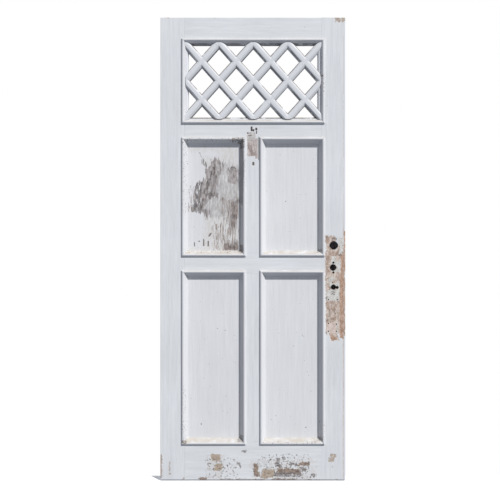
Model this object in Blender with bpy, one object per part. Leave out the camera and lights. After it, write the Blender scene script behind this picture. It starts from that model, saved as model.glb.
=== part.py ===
"""A framed and panelled front door with a diagonal lattice in its upper light.

The door is drawn standing, with X across it from the hinge edge, Z up from
its bottom edge and the outer face towards -Y. The whole is then moved so that
the world origin lies on the floor of the middle hinge gain, where it hangs.
"""

import math

import bmesh
import bpy
from mathutils import Matrix, Vector

# Fit left between pieces that touch
FIT = 0.0003
# How far a cutter reaches past the surface it cuts
OVERCUT = 0.010

# Framing, all of one thickness
THICKNESS = 0.0445
HINGE_STILE = 0.1065
LEFT_PANEL = 0.2555
MUNTIN = 0.088
RIGHT_PANEL = 0.259
LOCK_STILE = 0.104

# Heights, from the bottom edge up
BOTTOM_RAIL = 0.168
LOWER_PANEL = 0.7385
LOCK_RAIL = 0.0885
UPPER_PANEL = 0.496
FRIEZE_RAIL = 0.0875
LIGHT = 0.347
TOP_RAIL = 0.1065

# Joinery
GROOVE_WIDTH = 0.0127
GROOVE_DEPTH = 0.011
PANEL_TONGUE = 0.010
RAIL_TENON = 0.060
MUNTIN_TENON = 0.030
TENON_INSET = 0.015

# Raised moulding: a round bead lapping the frame, then a slope to the panel
# whose foot stands out from the edge of the opening
BEAD_LAP = 0.014
BEAD_HALF_WIDTH = 0.007
BEAD_RISE = 0.0076
SLOPE_FOOT = 0.013
BEAD_INNER_STEPS = 3
ROUND_STEPS = 5

# Border strip round the light, under the lattice
BORDER_LEFT = 0.016
BORDER_RIGHT = 0.0175
BORDER_BOTTOM = 0.0165
BORDER_TOP = 0.0105
BORDER_SETBACK = 0.005
BORDER_DEPTH = 0.022
BORDER_ROUND = 0.004

# Lattice laths, half-lapped and rounded on the face
LATH_WIDTH = 0.035
LATH_DEPTH = 0.022
LATH_PROUD = 0.002
LATH_ROUND_WIDTH = 0.0155
LATH_ROUND_DROP = 0.016
LATTICE_COLUMNS = 4
NODES_PER_COLUMN = 2
LATTICE_LEFT_INSET = -0.0005
LATTICE_RIGHT_INSET = -0.002
LATTICE_BOTTOM_INSET = 0.0073
LATTICE_TOP_INSET = 0.0023
SIDE_NODE_INSET = 0.005
ARC_STEPS = 14

# Hinge gains, cut in from the rear face
HINGE_HEIGHT = 0.114
HINGE_LEAF = 0.035
HINGE_GAIN = 0.003
TOP_HINGE_MARGIN = 0.178
BOTTOM_HINGE_MARGIN = 0.279

# Lock pocket in the edge, with the recess for its face plate
LOCK_POCKET_WIDTH = 0.018
LOCK_POCKET_HEIGHT = 0.205
LOCK_POCKET_DEPTH = 0.072
LOCK_POCKET_WALL = 0.007
LOCK_POCKET_CENTRE = 0.005
PLATE_RECESS_WIDTH = 0.026
PLATE_RECESS_HEIGHT = 0.245
PLATE_RECESS_DEPTH = 0.0025

# Lock bores: diameter, distance from the lock edge, height above the spindle
SPINDLE_LEVEL = 0.0265
BORES = {
    "spindle_bore": (0.027, 0.054, 0.0),
    "cylinder_bore": (0.036, 0.051, 0.0975),
    "upper_bolt_bore": (0.010, 0.0525, 0.0215),
    "lower_bolt_bore": (0.010, 0.0525, -0.0215),
    "keyhole_bore": (0.022, 0.052, -0.0862),
    "keyhole_lobe": (0.012, 0.0360, -0.0876),
}
SCREWS = {
    "upper_pilot": (0.005, 0.056, -0.0655),
    "plate_screw_a": (0.006, 0.0745, -0.141),
    "plate_screw_b": (0.006, 0.0355, -0.141),
    "plate_screw_c": (0.006, 0.0745, -0.2455),
    "plate_screw_d": (0.006, 0.0393, -0.249),
    "plate_screw_e": (0.006, 0.0745, -0.280),
    "plate_screw_f": (0.006, 0.0393, -0.281),
}
SCREW_DEPTH = 0.012
BORE_SIDES = 28
SCREW_SIDES = 12

# Paint, as sRGB in 0 to 255
FRAME_PAINT = (213, 216, 221)
PANEL_PAINT = (217, 218, 222)
BEAD_PAINT = (233, 235, 238)
LATH_PAINT = (220, 224, 230)
PAINT_ROUGHNESS = 0.55

# Levels and lines worked out from the sizes
FACE = -THICKNESS / 2
REAR = THICKNESS / 2
LEFT_OPEN = (HINGE_STILE, HINGE_STILE + LEFT_PANEL)
RIGHT_OPEN = (LEFT_OPEN[1] + MUNTIN, LEFT_OPEN[1] + MUNTIN + RIGHT_PANEL)
WIDTH = RIGHT_OPEN[1] + LOCK_STILE
LOWER_OPEN = (BOTTOM_RAIL, BOTTOM_RAIL + LOWER_PANEL)
UPPER_OPEN = (LOWER_OPEN[1] + LOCK_RAIL, LOWER_OPEN[1] + LOCK_RAIL + UPPER_PANEL)
LIGHT_OPEN = (UPPER_OPEN[1] + FRIEZE_RAIL, UPPER_OPEN[1] + FRIEZE_RAIL + LIGHT)
HEIGHT = LIGHT_OPEN[1] + TOP_RAIL
TONGUE_THICKNESS = GROOVE_WIDTH - 2 * FIT
PANEL_RECESS = (THICKNESS - TONGUE_THICKNESS) / 2
BEAD_CREST = BEAD_HALF_WIDTH - BEAD_LAP
SLOPE_AWAY = ((SLOPE_FOOT - BEAD_CREST) / BEAD_HALF_WIDTH, PANEL_RECESS / BEAD_RISE)
SLOPE_TURN = math.atan2(SLOPE_AWAY[1], SLOPE_AWAY[0]) + math.asin(1 / math.hypot(*SLOPE_AWAY))
SLOPE_TOP = (
    BEAD_CREST + BEAD_HALF_WIDTH * math.sin(SLOPE_TURN), BEAD_RISE * math.cos(SLOPE_TURN))
SLOPE_RUN = SLOPE_FOOT - SLOPE_TOP[0]
SLOPE_DROP = SLOPE_TOP[1] + PANEL_RECESS
SLOPE_FIT = FIT * math.hypot(SLOPE_RUN, SLOPE_DROP) / SLOPE_DROP
SPINDLE_HEIGHT = LOWER_OPEN[1] + SPINDLE_LEVEL
LOCK_RAIL_STUB = LOCK_STILE - LOCK_POCKET_DEPTH - LOCK_POCKET_WALL
HINGE_CENTRES = {
    "bottom": BOTTOM_HINGE_MARGIN + HINGE_HEIGHT / 2,
    "middle": (BOTTOM_HINGE_MARGIN + HEIGHT - TOP_HINGE_MARGIN) / 2,
    "top": HEIGHT - TOP_HINGE_MARGIN - HINGE_HEIGHT / 2,
}


def clear_scene():
    """Remove whatever the scene holds."""
    for found in list(bpy.data.objects):
        bpy.data.objects.remove(found, do_unlink=True)


def new_collection(name):
    """Add a collection to the scene."""
    collection = bpy.data.collections.new(name)
    bpy.context.scene.collection.children.link(collection)
    return collection


def linear(channel):
    """One sRGB channel of 0 to 255 as a linear value."""
    value = channel / 255
    if value <= 0.04045:
        return value / 12.92
    return ((value + 0.055) / 1.055) ** 2.4


def add_paint(part, colour):
    """Give a part its own painted material."""
    paint = bpy.data.materials.new(part.name + "_paint")
    paint.use_nodes = True
    surface = paint.node_tree.nodes["Principled BSDF"]
    surface.inputs["Base Color"].default_value = [linear(c) for c in colour] + [1.0]
    surface.inputs["Roughness"].default_value = PAINT_ROUGHNESS
    surface.inputs["Metallic"].default_value = 0.0
    paint.diffuse_color = surface.inputs["Base Color"].default_value
    part.data.materials.append(paint)


def add_object(name, mesh, collection, location=(0, 0, 0), rotation=(0, 0, 0)):
    """Place a mesh in the door's own coordinates."""
    part = bpy.data.objects.new(name, mesh)
    part.parent = bpy.data.objects["door_corner"]
    part.location = location
    part.rotation_euler = rotation
    collection.objects.link(part)
    return part


def block_mesh(name, size):
    """A box centred on its own origin."""
    mesh = bpy.data.meshes.new(name)
    shape = bmesh.new()
    bmesh.ops.create_cube(shape, size=1.0)
    bmesh.ops.scale(shape, vec=size, verts=shape.verts)
    shape.to_mesh(mesh)
    shape.free()
    return mesh


def add_block(name, collection, across, deep, high, rotation=(0, 0, 0)):
    """A box between two values on each axis, turned about its centre."""
    spans = (across, deep, high)
    size = [end - start for start, end in spans]
    centre = [(start + end) / 2 for start, end in spans]
    return add_object(name, block_mesh(name, size), collection, centre, rotation)


def prism_mesh(name, outline, length):
    """A flat outline in X and Y, filled and extruded along Z."""
    curve = bpy.data.curves.new(name, "CURVE")
    curve.dimensions = "2D"
    curve.fill_mode = "BOTH"
    curve.extrude = length / 2
    spline = curve.splines.new("POLY")
    spline.points.add(len(outline) - 1)
    for point, (x, y) in zip(spline.points, outline):
        point.co = (x, y, 0, 1)
    spline.use_cyclic_u = True
    drawn = bpy.data.objects.new(name, curve)
    bpy.context.scene.collection.objects.link(drawn)
    bpy.context.view_layer.update()
    graph = bpy.context.evaluated_depsgraph_get()
    mesh = bpy.data.meshes.new_from_object(drawn.evaluated_get(graph))
    bpy.data.objects.remove(drawn)
    shape = bmesh.new()
    shape.from_mesh(mesh)
    bmesh.ops.remove_doubles(shape, verts=shape.verts, dist=0.000001)
    bmesh.ops.recalc_face_normals(shape, faces=shape.faces)
    shape.to_mesh(mesh)
    shape.free()
    mesh.name = name
    return mesh


def turned(across):
    """Euler angles that lay a prism on the door: its X along the given
    direction in the door's plane, its Y out of the face."""
    side = Vector(across).normalized()
    out = Vector((0, -1, 0))
    axes = Matrix((side, out, side.cross(out))).transposed()
    return axes.to_euler()


def add_boolean(part, other, operation="DIFFERENCE"):
    """Cut, join or trim a part by another object."""
    step = part.modifiers.new(other.name, "BOOLEAN")
    step.operation = operation
    step.object = other
    step.solver = "EXACT"


def hide_tool(tool):
    """Keep a cutter or a guide out of the finished door."""
    tool.hide_render = True
    tool.display_type = "WIRE"
    return tool


def widened(span, margin):
    """A span with a margin added at both ends."""
    return (span[0] - margin, span[1] + margin)


def tenon_span(rail_name):
    """From end to end of a rail with its tenons. The lock rail's is short at
    the lock pocket."""
    lock_end = LOCK_RAIL_STUB if rail_name == "lock_rail" else RAIL_TENON
    return (LEFT_OPEN[0] - RAIL_TENON, RIGHT_OPEN[1] + lock_end)


RAILS = {
    "bottom_rail": (0.0, LOWER_OPEN[0]),
    "lock_rail": (LOWER_OPEN[1], UPPER_OPEN[0]),
    "frieze_rail": (UPPER_OPEN[1], LIGHT_OPEN[0]),
    "top_rail": (LIGHT_OPEN[1], HEIGHT),
}
PANELS = {
    "lower_left": (LEFT_OPEN, LOWER_OPEN),
    "lower_right": (RIGHT_OPEN, LOWER_OPEN),
    "upper_left": (LEFT_OPEN, UPPER_OPEN),
    "upper_right": (RIGHT_OPEN, UPPER_OPEN),
}
MUNTIN_SPAN = (LEFT_OPEN[1], RIGHT_OPEN[0])
LIGHT_WIDTH_SPAN = (LEFT_OPEN[0], RIGHT_OPEN[1])


def add_groove_cutters(cutters):
    """One flat cutter for each panel, a groove's depth larger all round."""
    grooves = {}
    for name, (across, high) in PANELS.items():
        grooves[name] = hide_tool(add_block(
            name + "_groove", cutters,
            widened(across, GROOVE_DEPTH),
            (-GROOVE_WIDTH / 2, GROOVE_WIDTH / 2),
            widened(high, GROOVE_DEPTH)))
    return grooves


def add_stiles(parts, cutters, grooves):
    """Two full-height stiles, mortised for the rails and grooved for panels."""
    hinge = add_block("hinge_stile", parts, (0, LEFT_OPEN[0]), (FACE, REAR), (0, HEIGHT))
    lock = add_block("lock_stile", parts, (RIGHT_OPEN[1], WIDTH), (FACE, REAR), (0, HEIGHT))
    for name, span in RAILS.items():
        mortise = hide_tool(add_block(
            name + "_mortise", cutters,
            widened(tenon_span(name), FIT),
            (-GROOVE_WIDTH / 2, GROOVE_WIDTH / 2),
            widened(span, FIT - TENON_INSET)))
        add_boolean(hinge, mortise)
        add_boolean(lock, mortise)
    for name, groove in grooves.items():
        add_boolean(hinge if name.endswith("left") else lock, groove)
    for name, level in HINGE_CENTRES.items():
        gain = hide_tool(add_block(
            name + "_hinge_gain", cutters,
            (-OVERCUT, HINGE_GAIN),
            (REAR - HINGE_LEAF, REAR + OVERCUT),
            (level - HINGE_HEIGHT / 2, level + HINGE_HEIGHT / 2)))
        add_boolean(hinge, gain)
    add_lock_cuts(lock, cutters)
    return [hinge, lock]


def add_bore(name, cutters, diameter, edge_distance, rise, deep, sides):
    """A round cutter square to the outer face of the lock stile."""
    mesh = bpy.data.meshes.new(name)
    shape = bmesh.new()
    bmesh.ops.create_cone(
        shape, cap_ends=True, segments=sides,
        radius1=diameter / 2, radius2=diameter / 2, depth=deep + OVERCUT)
    shape.to_mesh(mesh)
    shape.free()
    centre = (WIDTH - edge_distance, FACE + (deep - OVERCUT) / 2, SPINDLE_HEIGHT + rise)
    return hide_tool(add_object(name, mesh, cutters, centre, (math.pi / 2, 0, 0)))


def add_lock_cuts(lock, cutters):
    """The pocket in the lock edge, its plate recess and the bores into it."""
    middle = SPINDLE_HEIGHT + LOCK_POCKET_CENTRE
    pocket = hide_tool(add_block(
        "lock_pocket", cutters,
        (WIDTH - LOCK_POCKET_DEPTH, WIDTH + OVERCUT),
        (-LOCK_POCKET_WIDTH / 2, LOCK_POCKET_WIDTH / 2),
        (middle - LOCK_POCKET_HEIGHT / 2, middle + LOCK_POCKET_HEIGHT / 2)))
    recess = hide_tool(add_block(
        "lock_plate_recess", cutters,
        (WIDTH - PLATE_RECESS_DEPTH, WIDTH + OVERCUT),
        (-PLATE_RECESS_WIDTH / 2, PLATE_RECESS_WIDTH / 2),
        (middle - PLATE_RECESS_HEIGHT / 2, middle + PLATE_RECESS_HEIGHT / 2)))
    add_boolean(lock, pocket)
    add_boolean(lock, recess)
    for name, (diameter, edge_distance, rise) in BORES.items():
        add_boolean(lock, add_bore(
            name, cutters, diameter, edge_distance, rise, -FACE, BORE_SIDES))
    for name, (diameter, edge_distance, rise) in SCREWS.items():
        add_boolean(lock, add_bore(
            name, cutters, diameter, edge_distance, rise, SCREW_DEPTH, SCREW_SIDES))


def add_rails(parts, cutters, grooves):
    """Four rails between the stiles, each with a tenon at both ends."""
    rails = {}
    for name, span in RAILS.items():
        rail = add_block(
            name, parts, (LEFT_OPEN[0] + FIT, RIGHT_OPEN[1] - FIT), (FACE, REAR), span)
        tenon = hide_tool(add_block(
            name + "_tenon", cutters,
            tenon_span(name),
            (-TONGUE_THICKNESS / 2, TONGUE_THICKNESS / 2),
            widened(span, -TENON_INSET)))
        add_boolean(rail, tenon, "UNION")
        rails[name] = rail
    beside = {
        "lower": ("bottom_rail", "lock_rail"),
        "upper": ("lock_rail", "frieze_rail"),
    }
    for name, groove in grooves.items():
        for rail_name in beside[name.split("_")[0]]:
            add_boolean(rails[rail_name], groove)
    return rails


def add_muntins(parts, cutters, grooves, rails):
    """The upright between the panels of each row, tenoned into the rails."""
    muntins = []
    rows = {
        "lower": (LOWER_OPEN, "bottom_rail", "lock_rail"),
        "upper": (UPPER_OPEN, "lock_rail", "frieze_rail"),
    }
    for name, (high, below, above) in rows.items():
        muntin = add_block(
            name + "_muntin", parts, MUNTIN_SPAN, (FACE, REAR), widened(high, -FIT))
        tenon = hide_tool(add_block(
            name + "_muntin_tenon", cutters,
            widened(MUNTIN_SPAN, -TENON_INSET),
            (-TONGUE_THICKNESS / 2, TONGUE_THICKNESS / 2),
            widened(high, MUNTIN_TENON)))
        mortise = hide_tool(add_block(
            name + "_muntin_mortise", cutters,
            widened(MUNTIN_SPAN, FIT - TENON_INSET),
            (-GROOVE_WIDTH / 2, GROOVE_WIDTH / 2),
            widened(high, MUNTIN_TENON + FIT)))
        add_boolean(muntin, tenon, "UNION")
        add_boolean(muntin, grooves[name + "_left"])
        add_boolean(muntin, grooves[name + "_right"])
        add_boolean(rails[below], mortise)
        add_boolean(rails[above], mortise)
        muntins.append(muntin)
    return muntins


def add_panels(parts):
    """Four flat panels, their edges held in the grooves."""
    panels = []
    for name, (across, high) in PANELS.items():
        panels.append(add_block(
            name + "_panel", parts,
            widened(across, PANEL_TONGUE),
            (-TONGUE_THICKNESS / 2, TONGUE_THICKNESS / 2),
            widened(high, PANEL_TONGUE)))
    return panels


def bead_point(turn):
    """A point of the round bead, turned from its crest towards the opening."""
    return (BEAD_CREST + BEAD_HALF_WIDTH * math.sin(turn), BEAD_RISE * math.cos(turn))


def moulding_outline(width):
    """Section of a raised moulding, down to where its slope is so wide. X
    runs inwards from the edge of the opening, Y out of the frame's face."""
    foot = SLOPE_TOP[1] - (width - SLOPE_TOP[0]) * SLOPE_DROP / SLOPE_RUN
    outline = [(FIT, FIT), (FIT, foot), (width, foot)]
    for step in range(BEAD_INNER_STEPS):
        outline.append(bead_point(SLOPE_TURN * (1 - step / BEAD_INNER_STEPS)))
    for step in range(ROUND_STEPS + 1):
        x, y = bead_point(-math.pi / 2 * step / ROUND_STEPS)
        outline.append((x, max(y, FIT)))
    return outline


def mitre_ends(mesh, length, slopes):
    """Slant the two ends of a prism so that it meets its neighbours. The
    slopes are those of the lower and the upper end along its own Z."""
    for vertex in mesh.vertices:
        slope = slopes[0] if vertex.co.z < 0 else slopes[1]
        trim = vertex.co.x * slope + FIT * math.hypot(1, slope) / 2
        vertex.co.z = math.copysign(length / 2 - trim, vertex.co.z)


def add_surround(name, parts, across, high, section, widths):
    """Four mitred lengths round an opening. The section gives the outline
    for a width; the widths are of the left, right, bottom and top ones."""
    left, right, bottom, top = widths
    middle = (sum(across) / 2, sum(high) / 2)
    width = across[1] - across[0]
    height = high[1] - high[0]
    sides = {
        "left": ((1, 0, 0), (across[0], middle[1]), height, left, (top, bottom)),
        "right": ((-1, 0, 0), (across[1], middle[1]), height, right, (bottom, top)),
        "bottom": ((0, 0, 1), (middle[0], high[0]), width, bottom, (left, right)),
        "top": ((0, 0, -1), (middle[0], high[1]), width, top, (right, left)),
    }
    lengths = []
    for side, (inwards, (x, z), length, own, neighbours) in sides.items():
        part_name = name + "_" + side
        mesh = prism_mesh(part_name, section(own), length)
        mitre_ends(mesh, length, [neighbour / own for neighbour in neighbours])
        lengths.append(add_object(part_name, mesh, parts, (x, FACE, z), turned(inwards)))
    return lengths


def slope_width(level):
    """How far the moulding's slope reaches in at a level above the face."""
    return SLOPE_TOP[0] + SLOPE_RUN * (SLOPE_TOP[1] - level) / SLOPE_DROP


def add_mouldings(parts):
    """Raised mouldings round the four panels, standing on them, and round
    the light, standing on the border strip."""
    mouldings = []
    panel_widths = [slope_width(FIT - PANEL_RECESS)] * 4
    for name, (across, high) in PANELS.items():
        mouldings += add_surround(
            name + "_moulding", parts, across, high, moulding_outline, panel_widths)
    light_widths = [slope_width(FIT - BORDER_SETBACK)] * 4
    mouldings += add_surround(
        "light_moulding", parts, LIGHT_WIDTH_SPAN, LIGHT_OPEN, moulding_outline, light_widths)
    return mouldings


def border_outline(width):
    """Section of a border strip, its inner front corner rounded down."""
    front = -BORDER_SETBACK
    outline = [(FIT, front), (FIT, front - BORDER_DEPTH), (width, front - BORDER_DEPTH)]
    for step in range(ROUND_STEPS + 1):
        angle = math.pi / 2 * step / ROUND_STEPS
        outline.append((
            width - BORDER_ROUND * (1 - math.cos(angle)),
            front - BORDER_ROUND * (1 - math.sin(angle))))
    return outline


def add_border(parts):
    """The strip round the inside of the light that carries the lattice."""
    return add_surround(
        "lattice_border", parts, LIGHT_WIDTH_SPAN, LIGHT_OPEN, border_outline,
        (BORDER_LEFT, BORDER_RIGHT, BORDER_BOTTOM, BORDER_TOP))


class Lattice:
    """Places of the lattice's nodes. Columns count half pitches from the
    left side of the light, rows count down from the top."""

    half_columns = NODES_PER_COLUMN * LATTICE_COLUMNS
    rows = LATTICE_COLUMNS
    left = LIGHT_WIDTH_SPAN[0] + LATTICE_LEFT_INSET
    right = LIGHT_WIDTH_SPAN[1] - LATTICE_RIGHT_INSET
    bottom = LIGHT_OPEN[0] + LATTICE_BOTTOM_INSET
    top = LIGHT_OPEN[1] - LATTICE_TOP_INSET
    step_x = (right - left) / half_columns
    step_z = (top - bottom) / rows
    slope = math.atan2(step_z, step_x)

    @classmethod
    def node(cls, column, row):
        """Centre of a node in the door's plane."""
        return (cls.left + column * cls.step_x, cls.top - row * cls.step_z)

    @classmethod
    def runs(cls, rising):
        """Start and end node of each lath of one direction."""
        runs = []
        for index in range(LATTICE_COLUMNS + 1):
            start = NODES_PER_COLUMN * (index + 1 if rising else index - 1)
            heading = -1 if rising else 1
            inside = [
                (start + heading * row, row) for row in range(cls.rows + 1)
                if 0 <= start + heading * row <= cls.half_columns]
            runs.append((inside[0], inside[-1]))
        return runs


def lath_outline():
    """Section of a lath, its face rounded down at both edges."""
    half = LATH_WIDTH / 2
    flat = half - LATH_ROUND_WIDTH
    right = []
    for step in range(ROUND_STEPS + 1):
        angle = math.pi / 2 * step / ROUND_STEPS
        right.append((
            flat + LATH_ROUND_WIDTH * math.cos(angle),
            LATH_PROUD - LATH_ROUND_DROP * (1 - math.sin(angle))))
    left = [(-x, y) for x, y in reversed(right)]
    rear = LATH_PROUD - LATH_DEPTH
    return [(-half, rear), (half, rear)] + right + left


def lath_place(run, rising):
    """Centre, direction across and length of a lath between two nodes."""
    start = Vector(Lattice.node(*run[0]))
    end = Vector(Lattice.node(*run[1]))
    lean = math.sin(Lattice.slope)
    across = (-lean if rising else lean, 0, math.cos(Lattice.slope))
    middle = (start + end) / 2
    length = (end - start).length + 2 * LATH_WIDTH
    return middle, across, length


def flat_bar(name, collection, run, rising, width, front, rear):
    """A square-edged bar along a lath's line between two levels."""
    (x, z), across, length = lath_place(run, rising)
    mesh = block_mesh(name, (width, front - rear, length))
    centre = (x, FACE - (front + rear) / 2, z)
    return add_object(name, mesh, collection, centre, turned(across))


def node_arc(name, cutters, column, row, outwards, inset):
    """Cutter that rounds off the lattice where two laths meet its border."""
    lean = math.cos(Lattice.slope) if outwards[0] == 0 else math.sin(Lattice.slope)
    radius = (LATH_WIDTH / 2 + inset * lean) / (1 - lean)
    reach = math.acos(lean)
    centre = -radius - inset
    outline = []
    for step in range(ARC_STEPS + 1):
        angle = reach * (2 * step / ARC_STEPS - 1)
        outline.append((centre + radius * math.cos(angle), radius * math.sin(angle)))
    level = outline[0][0]
    side = radius * math.sin(reach) + OVERCUT
    outline += [(level, side), (LATH_WIDTH, side), (LATH_WIDTH, -side), (level, -side)]
    mesh = prism_mesh(name, outline, 2 * THICKNESS)
    x, z = Lattice.node(column, row)
    side_axis = Vector((0, -1, 0)).cross(Vector(outwards))
    axes = Matrix((Vector(outwards), side_axis, Vector((0, -1, 0)))).transposed()
    return hide_tool(add_object(name, mesh, cutters, (x, FACE, z), axes.to_euler()))


def lattice_envelope(cutters):
    """The room for the lattice: between the moulding slopes above the border
    strip, and between the strips below its face."""
    low = FIT - BORDER_SETBACK
    high = LATH_PROUD + FIT
    width = LIGHT_WIDTH_SPAN[1] - LIGHT_WIDTH_SPAN[0]
    mesh = block_mesh("slope_room", (width, high - low, LIGHT))
    for vertex in mesh.vertices:
        level = low if vertex.co.y > 0 else high
        inset = slope_width(level) + SLOPE_FIT
        vertex.co.x -= math.copysign(inset, vertex.co.x)
        vertex.co.z -= math.copysign(inset, vertex.co.z)
    centre = (sum(LIGHT_WIDTH_SPAN) / 2, FACE - (low + high) / 2, sum(LIGHT_OPEN) / 2)
    envelope = hide_tool(add_object("slope_room", mesh, cutters, centre))
    clear = hide_tool(add_block(
        "border_room", cutters,
        (LIGHT_WIDTH_SPAN[0] + BORDER_LEFT + FIT, LIGHT_WIDTH_SPAN[1] - BORDER_RIGHT - FIT),
        (FACE - (low + high) / 2, REAR),
        (LIGHT_OPEN[0] + BORDER_BOTTOM + FIT, LIGHT_OPEN[1] - BORDER_TOP - FIT)))
    add_boolean(envelope, clear, "UNION")
    return envelope


def lattice_form(cutters):
    """The whole lattice as one rounded form, to be shared among the laths."""
    form = None
    for rising in (True, False):
        for index, run in enumerate(Lattice.runs(rising)):
            (x, z), across, length = lath_place(run, rising)
            name = ("rising" if rising else "falling") + f"_form_{index + 1}"
            mesh = prism_mesh(name, lath_outline(), length)
            bar = hide_tool(add_object(name, mesh, cutters, (x, FACE, z), turned(across)))
            if form is None:
                form = bar
            else:
                add_boolean(form, bar, "UNION")
    add_boolean(form, lattice_envelope(cutters), "INTERSECT")
    for column in range(2, Lattice.half_columns, 2):
        for row, outwards in ((0, (0, 0, 1)), (Lattice.rows, (0, 0, -1))):
            name = f"end_arc_{column}_{row}"
            add_boolean(form, node_arc(name, cutters, column, row, outwards, 0.0))
    for row in range(2, Lattice.rows, 2):
        for column, outwards in ((0, (-1, 0, 0)), (Lattice.half_columns, (1, 0, 0))):
            name = f"side_arc_{column}_{row}"
            add_boolean(form, node_arc(
                name, cutters, column, row, outwards, SIDE_NODE_INSET))
    return form


def add_laths(parts, cutters):
    """Ten laths, half-lapped where they cross: the falling ones keep the
    front half, the rising ones the rear half."""
    form = lattice_form(cutters)
    middle = LATH_PROUD - LATH_DEPTH / 2
    front = LATH_PROUD + OVERCUT
    rear = LATH_PROUD - LATH_DEPTH - OVERCUT
    notch_width = LATH_WIDTH + FIT
    notches = {True: [], False: []}
    for rising, levels in ((True, (middle + FIT / 2, rear)), (False, (front, middle - FIT / 2))):
        for index, run in enumerate(Lattice.runs(rising)):
            name = ("rising" if rising else "falling") + f"_notch_{index + 1}"
            notches[rising].append(hide_tool(flat_bar(
                name, cutters, run, rising, notch_width, *levels)))
    laths = []
    for rising in (True, False):
        for index, run in enumerate(Lattice.runs(rising)):
            name = ("rising" if rising else "falling") + f"_lath_{index + 1}"
            lath = flat_bar(name, parts, run, rising, LATH_WIDTH - FIT, front, rear)
            add_boolean(lath, form, "INTERSECT")
            for notch in notches[not rising]:
                add_boolean(lath, notch)
            laths.append(lath)
    return laths


def main():
    clear_scene()
    parts = new_collection("front_door")
    cutters = new_collection("cutters")
    corner = bpy.data.objects.new("door_corner", None)
    corner.location = (-HINGE_GAIN, HINGE_LEAF / 2 - REAR, -HINGE_CENTRES["middle"])
    bpy.context.scene.collection.objects.link(corner)
    grooves = add_groove_cutters(cutters)
    frame = add_stiles(parts, cutters, grooves)
    rails = add_rails(parts, cutters, grooves)
    frame += add_muntins(parts, cutters, grooves, rails)
    frame += rails.values()
    finishes = (
        (frame, FRAME_PAINT),
        (add_panels(parts), PANEL_PAINT),
        (add_mouldings(parts), BEAD_PAINT),
        (add_border(parts), BEAD_PAINT),
        (add_laths(parts, cutters), LATH_PAINT),
    )
    for pieces, colour in finishes:
        for part in pieces:
            add_paint(part, colour)


main()
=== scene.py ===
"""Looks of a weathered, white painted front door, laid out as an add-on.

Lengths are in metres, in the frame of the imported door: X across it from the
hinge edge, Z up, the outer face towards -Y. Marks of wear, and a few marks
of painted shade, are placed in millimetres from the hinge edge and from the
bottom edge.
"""

import math

import bmesh
import bpy
from bpy.props import FloatProperty, FloatVectorProperty, IntProperty, PointerProperty
from bpy.types import Operator, Panel, PropertyGroup
from mathutils import Matrix, Vector


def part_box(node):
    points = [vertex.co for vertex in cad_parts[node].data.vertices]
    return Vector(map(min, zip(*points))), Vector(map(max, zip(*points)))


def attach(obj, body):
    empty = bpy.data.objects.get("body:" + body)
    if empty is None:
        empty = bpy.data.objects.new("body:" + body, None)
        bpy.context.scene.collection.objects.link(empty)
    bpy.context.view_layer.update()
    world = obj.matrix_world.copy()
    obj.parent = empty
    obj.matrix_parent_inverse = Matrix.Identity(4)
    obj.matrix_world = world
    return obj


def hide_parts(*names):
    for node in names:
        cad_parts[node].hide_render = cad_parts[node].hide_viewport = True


bl_info = {
    "name": "Weathered front door",
    "version": (1, 0, 0),
    "blender": (4, 5, 0),
    "location": "3D View > Sidebar > Door",
    "description": "Finishes a panelled door with a lattice light in old white paint",
    "category": "Object",
}

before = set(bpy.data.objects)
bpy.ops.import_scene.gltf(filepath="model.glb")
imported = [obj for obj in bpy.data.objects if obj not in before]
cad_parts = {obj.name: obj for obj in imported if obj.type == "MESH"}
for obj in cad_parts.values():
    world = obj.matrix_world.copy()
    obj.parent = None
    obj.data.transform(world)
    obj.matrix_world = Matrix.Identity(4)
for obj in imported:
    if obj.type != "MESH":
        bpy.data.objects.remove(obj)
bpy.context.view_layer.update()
ROOT = "root"

PANEL_NAMES = ("upper_left", "upper_right", "lower_left", "lower_right")
SIDES = {"left": (1, 0, 0), "right": (-1, 0, 0), "bottom": (0, 0, 1), "top": (0, 0, -1)}
# The sides at the lower and the upper end of each swept side
NEIGHBOURS = {
    "left": ("top", "bottom"), "right": ("bottom", "top"), "bottom": ("left", "right"),
    "top": ("right", "left")}
LATH_NAMES = [f"{lean}_lath_{count}" for lean in ("rising", "falling") for count in range(1, 6)]


def span(node, axis):
    """Lowest and highest value of a node on one axis."""
    low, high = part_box(node)
    return low[axis], high[axis]


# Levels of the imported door
FACE, REAR = span("hinge_stile", 1)
HINGE_EDGE = span("hinge_stile", 0)[0]
LOCK_EDGE = span("lock_stile", 0)[1]
FLOOR, TOP = span("hinge_stile", 2)
PANEL_FACE = span("upper_left_panel", 1)[0]
BORDER_FACE, BORDER_REAR = span("lattice_border_left", 1)
BEAD_RISE = FACE - span("light_moulding_left", 1)[0]
LATH_FACE, LATH_REAR = span("falling_lath_1", 1)

# Where a lath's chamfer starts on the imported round, as a share of the round's
# width, and how much the chamfer bends
CHAMFER_START = 0.30
CHAMFER_BEND = 1.2

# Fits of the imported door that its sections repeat
FIT = 0.0003
BEAD_LAP = 0.014
SLOPE_FOOT = 0.013
LATH_ROUND_DROP = 0.016


def opening(name):
    """Edges of an opening from the mouldings round it: the lowest and the
    highest corner in the door's plane."""
    left = span(name + "_moulding_left", 0)[0] + BEAD_LAP
    right = span(name + "_moulding_right", 0)[1] - BEAD_LAP
    bottom = span(name + "_moulding_bottom", 2)[0] + BEAD_LAP
    top = span(name + "_moulding_top", 2)[1] - BEAD_LAP
    return (left, bottom), (right, top)


def colour_setting(name, description, default):
    """A colour that the user can change."""
    return FloatVectorProperty(
        name=name, description=description, subtype="COLOR", size=3, min=0, max=1,
        default=default)


def length_setting(name, description, default, lowest=0):
    """A length that the user can change."""
    return FloatProperty(
        name=name, description=description, subtype="DISTANCE", unit="LENGTH", min=lowest,
        default=default)


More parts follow.
